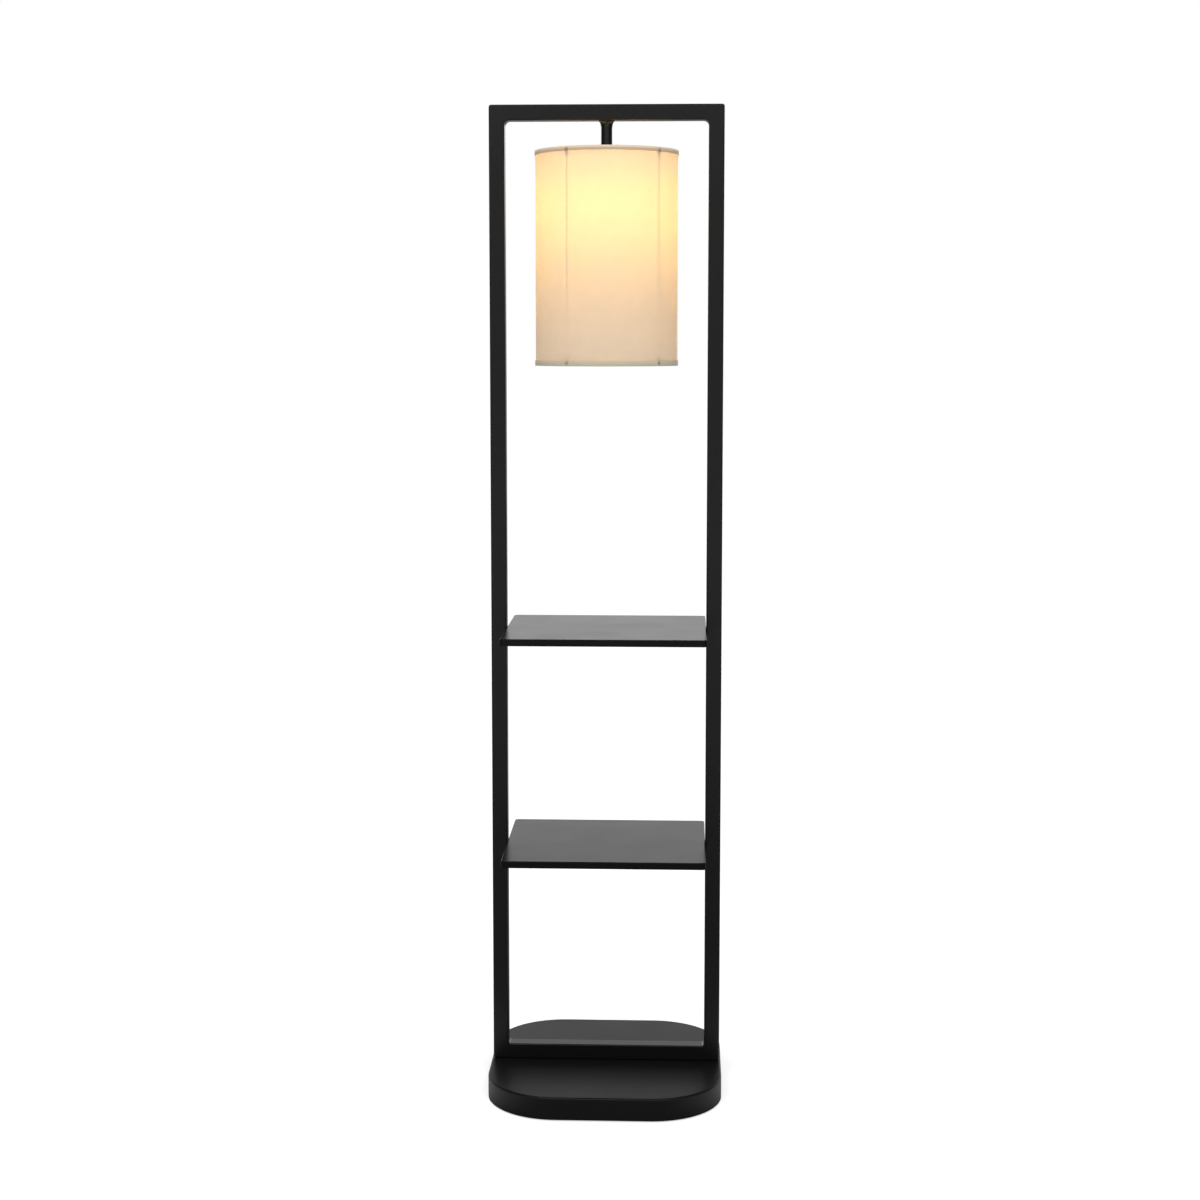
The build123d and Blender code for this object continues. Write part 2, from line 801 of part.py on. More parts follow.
def hem_tape(edge, way):
    """Binding folded over a hem and its ring: way is 1 at the top edge and -1 at the bottom edge."""
    outer = shade_d / 2
    inner = wire_r - wire_d / 2 - clear
    fold = edge - way * tape_thickness
    lip = edge - way * (tape_thickness + (wire_d - spoke_d) / 2)
    return turned(
        (outer, edge),
        (outer, edge - way * tape_height),
        (skin_r, edge - way * tape_height),
        (skin_r, fold),
        (inner, fold),
        (inner, lip),
        (inner - tape_thickness, lip),
        (inner - tape_thickness, edge),
    )


def shade_clamp_ring():
    """Fluted ring on the lampholder's thread that clamps the shade's washer to its shoulder."""
    high = washer_under - fit
    low = high - clamp_ring_height
    ring = sleeve(clamp_ring_d / 2, body_thread_d / 2 + fit, low, high)
    flute = disc(clamp_ring_flute_r, low, high)
    flutes = [
        Rot(0, 0, i * 360 / clamp_ring_flutes) * Pos(clamp_ring_d / 2, 0, 0) * flute
        for i in range(clamp_ring_flutes)
    ]
    return ring - flutes


# ------------------------------------------------------------------ wiring
def internal_lead():
    """Lead held inside the lamp: up the pipe, along the top bar, down the right post to its outlet."""
    end_y = tube / 2 + outlet_flange_thickness
    route = FilletPolyline(
        (0, 0, cap_top - pipe_depth - lead_start),
        (0, 0, lead_bar_z),
        (post_x, 0, lead_bar_z),
        (post_x, 0, outlet_height),
        (post_x, end_y, outlet_height),
        radius=[lead_bend_r, lead_corner_r, lead_exit_r],
    )
    profile = Plane(origin=route @ 0, z_dir=route % 0) * Circle(lead_d / 2)
    return sweep(profile, route)


def outlet_bushing():
    """Rubber bushing in the right post's rear wall."""
    wall_y = tube / 2
    inner_y = wall_y - tube_wall - outlet_barrel_inside
    barrel = disc(outlet_barrel_d / 2 - fit, inner_y, wall_y)
    flange = disc(outlet_flange_d / 2, wall_y, wall_y + outlet_flange_thickness)
    bore = disc(lead_d / 2 + clear, inner_y, wall_y + outlet_flange_thickness)
    return Pos(post_x, 0, outlet_height) * Rot(-90, 0, 0) * (barrel + flange - bore)


# ------------------------------------------------------------------ the whole lamp
def build():
    """Every piece of the lamp, by name."""
    ring = frame_ring()
    return {
        "left_post": post(ring, -1),
        "right_post": right_post(ring),
        "top_bar": top_bar(ring),
        "bottom_bar": bottom_bar(ring),
        "base_cover": base_cover(),
        "base_weight": base_weight(),
        "base_clamp_bar": base_clamp_bar(),
        "base_plate": base_plate(),
        "base_feet": base_feet(),
        "base_standoffs": base_standoffs(),
        "plate_screws": plate_screws(),
        "frame_bolts": frame_bolts(),
        "frame_washers": frame_washers(),
        "frame_inserts": frame_inserts(),
        "upper_shelf": shelf(upper_shelf_top),
        "lower_shelf": shelf(lower_shelf_top),
        "shelf_screws": shelf_screws(),
        "shelf_inserts": shelf_inserts(),
        "threaded_pipe": threaded_pipe(),
        "pipe_nut": pipe_nut(),
        "stem": stem(),
        "stem_collar": stem_collar(),
        "socket_cap": socket_cap(),
        "socket_body": socket_body(),
        "socket_core": socket_core(),
        "terminal_screws": terminal_screws(),
        "screw_shell": screw_shell(),
        "centre_contact": centre_contact(),
        "bulb_glass": bulb_glass(),
        "bulb_cap": bulb_cap(),
        "bulb_tip": bulb_tip(),
        "shade_spider": shade_spider(),
        "shade_washer": shade_washer(),
        "shade_bottom_ring": shade_bottom_ring(),
        "shade_struts": shade_struts(),
        "strut_ferrules": strut_ferrules(),
        "shade_skin": shade_skin(),
        "shade_top_tape": hem_tape(shade_top, 1),
        "shade_bottom_tape": hem_tape(shade_bottom, -1),
        "shade_clamp_ring": shade_clamp_ring(),
        "internal_lead": internal_lead(),
        "outlet_bushing": outlet_bushing(),
    }


os.makedirs("parts", exist_ok=True)
for node, shape in build().items():
    export_step(shape, f"parts/{node}.step")
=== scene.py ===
import math

import bpy
from mathutils import Euler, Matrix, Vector


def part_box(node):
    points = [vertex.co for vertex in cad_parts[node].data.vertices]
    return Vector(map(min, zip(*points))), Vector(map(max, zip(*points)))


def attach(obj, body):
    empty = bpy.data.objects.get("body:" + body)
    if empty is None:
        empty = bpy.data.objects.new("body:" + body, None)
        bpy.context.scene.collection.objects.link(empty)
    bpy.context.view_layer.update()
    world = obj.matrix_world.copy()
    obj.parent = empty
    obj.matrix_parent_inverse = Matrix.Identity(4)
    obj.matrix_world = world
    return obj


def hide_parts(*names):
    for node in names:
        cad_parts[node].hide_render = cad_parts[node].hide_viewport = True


bl_info = {
    "name": "Shelf Floor Lamp",
    "version": (1, 0, 0),
    "blender": (4, 5, 0),
    "location": "3D View > Sidebar > Floor Lamp",
    "description": "Dresses a tall black frame lamp with two shelves and a lit drum shade",
    "category": "Add Mesh",
}

# Lengths are in metres.
# The drum's cloth lies a little inside its solid, so that the raised seam doesn't stand out of it.
DRUM_COLUMNS = 360
DRUM_ROWS = 60
DRUM_INSET = 0.0005
DRUM_SMOOTH = math.radians(50)
SEAM_RISE = 0.00045
CLOTH_LIT = "#FFE9C8"  # the cloth's colour where light shines through it
CLOTH_SHEER = 0.35  # the share of the light that comes through

# The hems: how far each comes along the drum, the colour of its inner half, and where that starts
# and is full, from the drum's edge. On the top hem that darker inner half is painted shade of the
# wire ring inside it.
TOP_HEM = 0.0070
TOP_HEM_RING_SHADE = ("#D4BA9E", (0.0022, 0.0042))
LOW_HEM = 0.0085
LOW_HEM_EDGE = ("#DCCBB2", (0.0030, 0.0085))
HEM_COLUMNS = 240
TAPE_LIT = "#F2D9AE"
# The light through a tape's inner half: painted darker brown, as shade of the wire ring in the hem.
TAPE_RING_SHADOW_LIT = "#B08E62"
TAPE_THICK = 0.0006
TAPE_SHEER = 0.12
TAPE_IN = 0.00665  # how far a tape reaches in over the drum's edge
TAPE_LIP = 0.0012  # how far its end turns back along the drum
FOLD_BEVEL = 0.00022
FOLD_STEPS = 2
FOLD_ANGLE = math.radians(60)
HEM_SMOOTH = math.radians(40)
NEAR = 0.0001  # for finding a vertex by its height
RIGHT = 0.1  # radians, for finding the faces at the right-hand side

# The painted shadows of the struts' ends, seen through the cloth: their distance from the drum's
# edge, the radii where a shadow starts to fade and is gone, and its strength.
STRUT_SHADOW_INSET = 0.0043
STRUT_SHADOW_FADE = ((0.0012, 0.0052), (0.6, 0.0))
# The painted shadow's colour on the cloth's face, and in the light through it.
STRUT_SHADOW_FACE = "#7E6038"
STRUT_SHADOW_LIT = "#7A5624"

# Plated and drawn metals: colour, roughness, and the width and depth of their specks.
METALS = {
    "zinc_plated_steel": ("#B9BDC2", 0.34, 0.0018, 0.00003),
    "pressed_brass": ("#CFAF62", 0.28, 0.0022, 0.00002),
    "nickel_plated_cap": ("#C9C6BE", 0.24, 0.0016, 0.00002),
}

# Moulded, cast and fired stuff: colour, roughness, index of refraction, and the width and depth of
# its grain.
MOULDED = {
    "cast_concrete_raw": ("#8C8882", 0.9, 1.45, 0.004, 0.0006),
    "moulded_rubber_black": ("#1A1A1A", 0.75, 1.5, 0.0015, 0.0001),
    "moulded_phenolic_black": ("#18181A", 0.24, 1.55, 0.006, 0.00004),
    "unglazed_porcelain": ("#E6E2D6", 0.55, 1.5, 0.0012, 0.00005),
    "extruded_pvc_black": ("#1B1B1C", 0.45, 1.53, 0.003, 0.00005),
    "black_cap_glass": ("#121214", 0.15, 1.55, 0.002, 0.00002),
    "white_dipped_wire": ("#DAD7CE", 0.4, 1.5, 0.004, 0.00008),
    "moulded_nylon_brown": ("#6E4E36", 0.5, 1.53, 0.003, 0.00004),
}

WHOLE = (0.0, 1.0)  # the whole range of a value
NOISE_SPAN = (0.3, 0.7)  # nearly all values of a noise lie in it

# The floor's brightness: as the light falls on it, on top of that to the camera, and by place as
# the black coat reflects it, each as a stretch of the floor and the levels at its ends. The flanks
# are the bright parts beside the base: they lie between START and END to each side, and they come
# forward as far as FRONT.
FLOOR_SIZE = 60
FLOOR_WHITE = 0.90
FLOOR_LIFT = 0.54
FLOOR_DIM = 0.20
FLOOR_AHEAD = ((-4.6, -2.0), (0.85, FLOOR_DIM))
FLOOR_BEHIND = ((8.0, 13.0), (FLOOR_DIM, 0.90))
FLANK_START = ((0.13, 0.25), (FLOOR_DIM, 1.0))
FLANK_END = ((0.5, 1.0), (1.0, FLOOR_DIM))
FLANK_FRONT = ((-0.40, -0.26), (FLOOR_DIM, 1.0))

# The world's brightness: as it lights the lamp, and by direction as the black coat reflects it,
# again as a stretch and the levels at its ends. The room is what lies in front.
WORLD_SOFT = 0.52
WORLD_BEHIND = ((0.4, 0.97), WHOLE)
BACKDROP_FOOT = ((0.0, 0.13), (0.35, 2.0))
BACKDROP_TOP = ((0.14, 0.34), (1.0, 0.16))
ROOM_HEIGHT = ((-0.02, 0.22), (0.40, 0.08))
ROOM_SIDES = ((0.35, 0.85), (1.0, 0.3))

# Two softboxes, left and right.
SOFTBOX_X = 1.5
SOFTBOX_Y = -3.6
SOFTBOX_Z = 3.6
SOFTBOX_TARGET = (0, 0, 1.0)
SOFTBOX_SIZE = 1.8
SOFTBOX_WATTS = 52.0

CAMERA_PLACE = (0.1223, -3.3136, 1.2284)
CAMERA_DOWN = 5.912  # degrees below level
CAMERA_TURN = 2.298  # degrees to the left
CAMERA_SENSOR = 36.0  # millimetres, as the lens
CAMERA_LENS = 61.49
CAMERA_SHIFT = -0.04

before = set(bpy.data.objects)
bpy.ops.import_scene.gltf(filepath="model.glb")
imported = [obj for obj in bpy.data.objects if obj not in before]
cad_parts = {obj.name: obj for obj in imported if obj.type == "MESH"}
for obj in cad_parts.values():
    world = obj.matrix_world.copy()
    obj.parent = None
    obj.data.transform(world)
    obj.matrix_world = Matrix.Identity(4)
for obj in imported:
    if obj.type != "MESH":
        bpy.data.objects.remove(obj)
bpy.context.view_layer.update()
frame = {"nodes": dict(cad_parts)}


# ---------------------------------------------------------------- small tools
def linear(hex_colour):
    """Linear red, green and blue of an sRGB hex colour."""
    text = hex_colour.lstrip("#")
    channels = [int(text[i : i + 2], 16) / 255 for i in (0, 2, 4)]
    return tuple(c / 12.92 if c <= 0.04045 else ((c + 0.055) / 1.055) ** 2.4 for c in channels)


def rgba(colour):
    """The colour with full alpha, as a node's socket takes it."""
    return (*colour[:3], 1.0)


def only_select(thing):
    """Selects one object and makes it the active one."""
    if bpy.context.mode != "OBJECT":
        bpy.ops.object.mode_set(mode="OBJECT")
    bpy.ops.object.select_all(action="DESELECT")
    thing.select_set(True)
    bpy.context.view_layer.objects.active = thing


def dress(names, material):
    """Gives CAD nodes a material."""
    for name in names:
        mesh = frame["nodes"][name].data
        mesh.materials.clear()
        mesh.materials.append(material)


def open_drum(name, columns, radius, height, middle=0.0):
    """A cylinder without ends about the lamp's axis, its middle at that height."""
    bpy.ops.object.select_all(action="DESELECT")
    bpy.ops.mesh.primitive_cylinder_add(
        vertices=columns,
        radius=radius,
        depth=height,
        end_fill_type="NOTHING",
        location=(0, 0, middle),
    )
    drum = bpy.context.object
    drum.name = name
    return drum


def corners(mesh, face):
    """The loops of a face, each with the place of its vertex."""
    return [(i, mesh.vertices[mesh.loops[i].vertex_index].co) for i in face.loop_indices]


# ---------------------------------------------------------------- shader nodes
def new_material(name):
    """Empty node material; returns the material and its node tree."""
    material = bpy.data.materials.new(name)
    material.use_nodes = True
    tree = material.node_tree
    tree.nodes.clear()
    return material, tree


def add_node(tree, kind, settings=None, inputs=None):
    """Adds a node. settings are its own properties, and inputs are values or sockets to link."""
    node = tree.nodes.new(kind)
    for name, value in (settings or {}).items():
        setattr(node, name, value)
    for name, value in (inputs or {}).items():
        socket = node.inputs[name]
        if isinstance(value, bpy.types.NodeSocket):
            tree.links.new(value, socket)
        else:
            socket.default_value = value
    return node


def surface(tree, shader):
    """Ends a material's tree with the shader's socket."""
    add_node(tree, "ShaderNodeOutputMaterial", inputs={"Surface": shader})


def principled(tree, inputs):
    """The shader that all solid stuff has."""
    return add_node(tree, "ShaderNodeBsdfPrincipled", inputs=inputs).outputs["BSDF"]


def translucent(tree, colour):
    """The shader that lets light through and scatters it."""
    return add_node(tree, "ShaderNodeBsdfTranslucent", inputs={"Color": colour}).outputs["BSDF"]


def mix_shaders(tree, first, second, share):
    """The first shader with that share of the second."""
    inputs = {0: share, 1: first, 2: second}
    return add_node(tree, "ShaderNodeMixShader", inputs=inputs).outputs["Shader"]


def object_place(tree):
    """The place on the object, in metres."""
    return add_node(tree, "ShaderNodeTexCoord").outputs["Object"]


def axes(tree, vector):
    """X, Y and Z of a vector, by name."""
    return add_node(tree, "ShaderNodeSeparateXYZ", inputs={"Vector": vector}).outputs


def noise(tree, place, scale, detail=2.0):
    """A noise with scale spots in a metre."""
    inputs = {"Vector": place, "Scale": scale, "Detail": detail}
    return add_node(tree, "ShaderNodeTexNoise", inputs=inputs).outputs["Fac"]


def bumps(tree, height, strength, depth):
    """Normal of a surface with those heights, of which 1 stands for the depth."""
    inputs = {"Height": height, "Strength": strength, "Distance": depth}
    return add_node(tree, "ShaderNodeBump", inputs=inputs).outputs["Normal"]


def calc(tree, operation, *values):
    """Result of a maths node on values or sockets."""
    node = add_node(tree, "ShaderNodeMath", {"operation": operation}, dict(enumerate(values)))
    return node.outputs[0]


def spread(tree, value, span, levels, kind="LINEAR"):
    """Carries a value from the ends of span to the two levels, and holds it beyond them."""
    inputs = {"Value": value, "From Min": span[0], "From Max": span[1]}
    inputs.update({"To Min": levels[0], "To Max": levels[1]})
    node = add_node(tree, "ShaderNodeMapRange", {"interpolation_type": kind}, inputs)
    return node.outputs["Result"]


def ease(tree, value, span, levels=WHOLE):
    """As spread, but it starts and ends softly."""
    return spread(tree, value, span, levels, "SMOOTHSTEP")


# A Mix node numbers its sockets by what they take: 2 and 3 numbers, 6 and 7 colours.
def blend(tree, amount, first, second):
    """Number that goes from the first to the second as the amount goes from 0 to 1."""
    inputs = {0: amount, 2: first, 3: second}
    return add_node(tree, "ShaderNodeMix", {"data_type": "FLOAT"}, inputs).outputs[0]


def blend_colour(tree, amount, first, second):
    """Colour that goes from the first to the second as the amount goes from 0 to 1."""
    inputs = {0: amount, 6: first, 7: second}
    return add_node(tree, "ShaderNodeMix", {"data_type": "RGBA"}, inputs).outputs[2]


def dim_colour(tree, colour, level):
    """The colour times the level."""
    inputs = {0: colour, "Scale": level}
    return add_node(tree, "ShaderNodeVectorMath", {"operation": "SCALE"}, inputs).outputs["Vector"]


# ---------------------------------------------------------------- sizes and colours
class LampPaint(bpy.types.PropertyGroup):
    """Black coats of the frame, shelves and base"""

    frame: bpy.props.FloatVectorProperty(
        name="Frame",
        description="Powder coat of the posts, bars, stem and collar",
        subtype="COLOR",
        default=linear("#060606"),
        min=0,
        max=1,
    )
    shelf: bpy.props.FloatVectorProperty(
        name="Shelves",
        description="Powder coat of the two folded shelves",
        subtype="COLOR",
        default=linear("#070807"),
        min=0,
        max=1,
    )
    base: bpy.props.FloatVectorProperty(
        name="Base",
        description="Powder coat of the pressed base cover",
        subtype="COLOR",
        default=linear("#0F0F0F"),
        min=0,
        max=1,
    )
    grain: bpy.props.FloatProperty(
        name="Grain",
        description="Width of the powder coat's orange peel",
        default=0.0012,
        min=0.0002,
        unit="LENGTH",
    )


class LampShade(bpy.types.PropertyGroup):
    """Cloth of the drum shade"""

    cloth: bpy.props.FloatVectorProperty(
        name="Cloth",
        description="Cream cloth of the drum",
        subtype="COLOR",
        default=linear("#DDD2C4"),
        min=0,
        max=1,
    )
    hem: bpy.props.FloatVectorProperty(
        name="Top hem",
        description="Cloth tape folded over the top edge",
        subtype="COLOR",
        default=linear("#F3DDBD"),
        min=0,
        max=1,
    )
    low_hem: bpy.props.FloatVectorProperty(
        name="Bottom hem",
        description="Cloth tape folded under the bottom edge",
        subtype="COLOR",
        default=linear("#C8C3AA"),
        min=0,
        max=1,
    )
    thread: bpy.props.FloatProperty(
        name="Thread spacing",
        description="Distance between the threads of the cloth",
        default=0.0012,
        min=0.0002,
        unit="LENGTH",
    )
    seam_turn: bpy.props.FloatProperty(
        name="Seam",
        description="Where the cloth's lap seam stands, from the right-hand side",
        default=math.radians(112),
        subtype="ANGLE",
        unit="ROTATION",
    )
    seam_width: bpy.props.FloatProperty(
        name="Seam width",
        description="Overlap of the cloth at its seam",
        default=0.010,
        min=0.002,
        unit="LENGTH",
    )


class LampLight(bpy.types.PropertyGroup):
    """Light of the bulb"""

    glow: bpy.props.FloatVectorProperty(
        name="Light",
        description="Colour of the lit bulb",
        subtype="COLOR",
        default=linear("#FFD669"),
        min=0,
        max=1,
    )
    strength: bpy.props.FloatProperty(
        name="Brightness",
        description="How brightly the opal glass shines",
        default=22.5,
        min=0,
    )


# ---------------------------------------------------------------- materials
def powder_coat(name, colour, grain, roughness, ior=1.5):
    """Sprayed and baked polyester powder on steel: dull black with a fine orange peel that softens
    what it reflects, so upright faces look black and flat ones pale at a low angle."""
    material, tree = new_material(name)
    place = object_place(tree)
    peel = noise(tree, place, scale=1 / grain)
    cloudy = noise(tree, place, scale=14.0, detail=3.0)
    uneven = 0.012
    levels = (roughness - uneven, roughness + uneven)
    skin = principled(
        tree,
        {
            "Base Color": rgba(colour),
            "Roughness": spread(tree, cloudy, NOISE_SPAN, levels),
            "IOR": ior,
            "Normal": bumps(tree, peel, strength=0.12, depth=grain / 8),
        },
    )
    surface(tree, skin)
    return material


def bare_metal(name):
    """Plated or drawn metal: a grey mirror dulled by fine specks of the plating."""
    colour, roughness, speck, depth = METALS[name]
    material, tree = new_material(name)
    specks = noise(tree, object_place(tree), scale=1 / speck, detail=3.0)
    levels = (roughness * 0.8, roughness * 1.2)
    skin = principled(
        tree,
        {
            "Base Color": rgba(linear(colour)),
            "Metallic": 1.0,
            "Roughness": spread(tree, specks, NOISE_SPAN, levels),
            "Normal": bumps(tree, specks, strength=0.2, depth=depth),
        },
    )
    surface(tree, skin)
    return material


def moulded(name):
    """Moulded, cast or fired stuff: its own colour under a clear reflection, with a faint grain."""
    colour, roughness, ior, speck, depth = MOULDED[name]
    material, tree = new_material(name)
    grain = noise(tree, object_place(tree), scale=1 / speck, detail=4.0)
    skin = principled(
        tree,
        {
            "Base Color": rgba(linear(colour)),
            "Roughness": roughness,
            "IOR": ior,
            "Normal": bumps(tree, grain, strength=0.3, depth=depth),
        },
    )
    surface(tree, skin)
    return material


def opal_glass(light, strength):
    """Opal glass lit from inside: an even warm white with a gloss on top."""
    material, tree = new_material("opal_glass_lit")
    skin = principled(
        tree,
        {
            "Base Color": rgba(linear("#F6F1E6")),
            "Roughness": 0.22,
            "IOR": 1.5,
            "Emission Color": rgba(light),
            "Emission Strength": strength,
        },
    )
    surface(tree, skin)
    return material


def nylon_sleeve():
    """White nylon sleeve over the wire of a strut: milky, so that it throws next to no shadow."""
    material, tree = new_material("extruded_nylon_white")
    cloudy = noise(tree, object_place(tree), scale=220.0)
    dull = spread(tree, cloudy, span=WHOLE, levels=(0.3, 0.5))
    skin = principled(tree, {"Base Color": rgba(linear("#F1EEE6")), "Roughness": dull})
    milky = translucent(tree, rgba(linear("#FFF9EC")))
    surface(tree, mix_shaders(tree, skin, milky, share=0.8))
    return material


def painted_strut_shadows(tree):
    """Strength of the painted shadows of the struts' ends: soft brown spots on the cloth at both
    hems, where the ends stand behind it. Half of the ends lie opposite the others, so on the folded
    place there are two spots."""
    low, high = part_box("shade_skin")
    middle = (low.z + high.z) / 2
    ends = [v.co for v in frame["nodes"]["strut_ferrules"].data.vertices]
    place = axes(tree, object_place(tree))
    folded = add_node(
        tree,
        "ShaderNodeCombineXYZ",
        inputs={
            "X": calc(tree, "MULTIPLY", place["X"], calc(tree, "SIGN", place["Y"])),
            "Y": calc(tree, "ABSOLUTE", place["Y"]),
            "Z": calc(tree, "ABSOLUTE", calc(tree, "SUBTRACT", place["Z"], middle)),
        },
    )
    gaps = []
    for way in (1, -1):
        near = [co for co in ends if co.x * way > 0 and co.y > 0 and co.z > middle]
        x = sum(co.x for co in near) / len(near)
        y = sum(co.y for co in near) / len(near)
        stretch = high.x / math.hypot(x, y)
        spot = (x * stretch, y * stretch, (high.z - low.z) / 2 - STRUT_SHADOW_INSET)
        inputs = {0: folded.outputs["Vector"], 1: spot}
        gap = add_node(tree, "ShaderNodeVectorMath", {"operation": "DISTANCE"}, inputs)
        gaps.append(gap.outputs["Value"])
    return ease(tree, calc(tree, "MINIMUM", *gaps), *STRUT_SHADOW_FADE)


def weave(tree, uv, thread):
    """Threads that cross, each wandering a little: 1 on top of a thread and 0 in the gaps."""
    slub = noise(tree, uv, scale=140.0)
    way = axes(tree, uv)
    waves = []
    for axis in ("X", "Y"):
        wander = calc(tree, "MULTIPLY_ADD", slub, thread * 0.8, way[axis])
        wave = calc(tree, "SINE", calc(tree, "MULTIPLY", wander, math.pi / thread))
        waves.append(calc(tree, "ABSOLUTE", wave))
    return calc(tree, "MULTIPLY", *waves)


def shade_cloth(name, colour, through, thread, sheer, edge=None):
    """Plain-woven cloth laminated to the drum: matt and cream, its threads a little darker in their
    gaps, and yellow where the bulb shines through. The threads are drawn about three times as
    coarse as real ones, so that they show. sheer is the share that lets light through. edge is for
    a tape: the colour of its inner half, and where that starts and is full from the drum's edge;
    the light through that inner half is painted darker, as shade of the wire ring in the hem. Soft
    brown spots are painted shadows of the struts' ends."""
    material, tree = new_material(name)
    # The map is in metres along the hem, and up the drum or from its edge.
    uv = add_node(tree, "ShaderNodeUVMap", {"uv_map": "cloth"}).outputs["UV"]
    threads = weave(tree, uv, thread)
    cloudy = noise(tree, uv, scale=60.0, detail=3.0)
    gaps = spread(tree, threads, span=WHOLE, levels=(0.95, 1.03))
    level = calc(tree, "MULTIPLY", gaps, spread(tree, cloudy, NOISE_SPAN, (0.985, 1.015)))
    face_colour = rgba(colour)
    lit_colour = rgba(linear(through))
    # A tape's inner half takes its own face colour, and the light through it is painted darker as
    # shade of the wire ring.
    if edge:
        edge_colour, stretch = edge
        inner = ease(tree, axes(tree, uv)["Y"], stretch)
        face_colour = blend_colour(tree, inner, face_colour, rgba(linear(edge_colour)))
        lit_colour = blend_colour(tree, inner, lit_colour, rgba(linear(TAPE_RING_SHADOW_LIT)))
    # Painted shadows of the struts' ends, on the cloth's face and in the light through it.
    strut_shadow = painted_strut_shadows(tree)
    face_colour = blend_colour(tree, strut_shadow, face_colour, rgba(linear(STRUT_SHADOW_FACE)))
    lit_colour = blend_colour(tree, strut_shadow, lit_colour, rgba(linear(STRUT_SHADOW_LIT)))
    face = principled(
        tree,
        {
            "Base Color": dim_colour(tree, face_colour, level),
            "Roughness": 0.85,
            "IOR": 1.4,
            "Sheen Weight": 0.5,
            "Sheen Roughness": 0.45,
            "Sheen Tint": rgba(linear("#FBF9F4")),
            "Normal": bumps(tree, threads, strength=0.3, depth=thread / 8),
        },
    )
    lit = translucent(tree, dim_colour(tree, lit_colour, level))
    surface(tree, mix_shaders(tree, face, lit, sheer))
    return material


# ---------------------------------------------------------------- frame, shelves and base
class LAMP_OT_coat_frame(bpy.types.Operator):
    """Sprays the welded frame, its stem and its collar black"""

    bl_idname = "lamp.coat_frame"
    bl_label = "Coat the frame"

    def execute(self, context):
        paint = context.scene.lamp_paint
        coat = powder_coat("powder_coat_frame", paint.frame, paint.grain, roughness=0.30)
        dress(["left_post", "right_post", "top_bar", "bottom_bar", "stem", "stem_collar"], coat)
        return {"FINISHED"}


class LAMP_OT_coat_shelves(bpy.types.Operator):
    """Sprays the two folded shelves black"""

    bl_idname = "lamp.coat_shelves"
    bl_label = "Coat the shelves"

    def execute(self, context):
        paint = context.scene.lamp_paint
        coat = powder_coat(
            "powder_coat_shelf", paint.shelf, paint.grain, roughness=0.32, ior=1.3
        )
        dress(["upper_shelf", "lower_shelf"], coat)
        return {"FINISHED"}


class LAMP_OT_finish_base(bpy.types.Operator):
    """Finishes the base: coated cover and plate, raw cast weight, rubber feet"""

    bl_idname = "lamp.finish_base"
    bl_label = "Finish the base"

    def execute(self, context):
        paint = context.scene.lamp_paint
        coat = powder_coat(
            "powder_coat_base", paint.base, paint.grain, roughness=0.42, ior=1.36
        )
        dress(["base_cover"], coat)
        under = powder_coat(
            "stoved_paint_plate", linear("#1C1C1C"), paint.grain, roughness=0.55
        )
        dress(["base_plate"], under)
        dress(["base_weight"], moulded("cast_concrete_raw"))
        dress(["base_feet", "outlet_bushing"], moulded("moulded_rubber_black"))
        return {"FINISHED"}


class LAMP_OT_finish_fixings(bpy.types.Operator):
    """Zinc-plates the bolts, screws, inserts, washers, spacers, threaded pipe and its nut"""

    bl_idname = "lamp.finish_fixings"
    bl_label = "Plate the fixings"

    def execute(self, context):
        fixings = ["base_clamp_bar", "base_standoffs", "plate_screws", "frame_bolts"]
        fixings += ["frame_washers", "frame_inserts", "shelf_screws", "shelf_inserts"]
        dress(fixings + ["threaded_pipe", "pipe_nut"], bare_metal("zinc_plated_steel"))
        return {"FINISHED"}


# ---------------------------------------------------------------- lampholder and bulb
class LAMP_OT_finish_holder(bpy.types.Operator):
    """Finishes the lampholder: glossy resin body and ring, porcelain core, brass contacts"""

    bl_idname = "lamp.finish_holder"
    bl_label = "Finish the lampholder"

    def execute(self, context):
        resin = moulded("moulded_phenolic_black")
        dress(["socket_cap", "socket_body", "shade_clamp_ring"], resin)
        dress(["socket_core"], moulded("unglazed_porcelain"))
        dress(["screw_shell", "centre_contact", "terminal_screws"], bare_metal("pressed_brass"))
        dress(["internal_lead"], moulded("extruded_pvc_black"))
        return {"FINISHED"}


class LAMP_OT_light_bulb(bpy.types.Operator):
    """Lights the opal bulb and plates its cap"""

    bl_idname = "lamp.light_bulb"
    bl_label = "Light the bulb"

    def execute(self, context):
        light = context.scene.lamp_light
        dress(["bulb_glass"], opal_glass(light.glow, light.strength))
        dress(["bulb_cap"], bare_metal("nickel_plated_cap"))
        dress(["bulb_tip"], moulded("black_cap_glass"))
        return {"FINISHED"}


# ---------------------------------------------------------------- shade
class LAMP_OT_finish_shade_frame(bpy.types.Operator):
    """Coats the shade's wires white and moulds the brown ends of its struts"""

    bl_idname = "lamp.finish_shade_frame"
    bl_label = "Finish the shade's wires"

    def execute(self, context):
        white = moulded("white_dipped_wire")
        dress(["shade_spider", "shade_washer", "shade_bottom_ring"], white)
        dress(["shade_struts"], nylon_sleeve())
        dress(["strut_ferrules"], moulded("moulded_nylon_brown"))
        return {"FINISHED"}


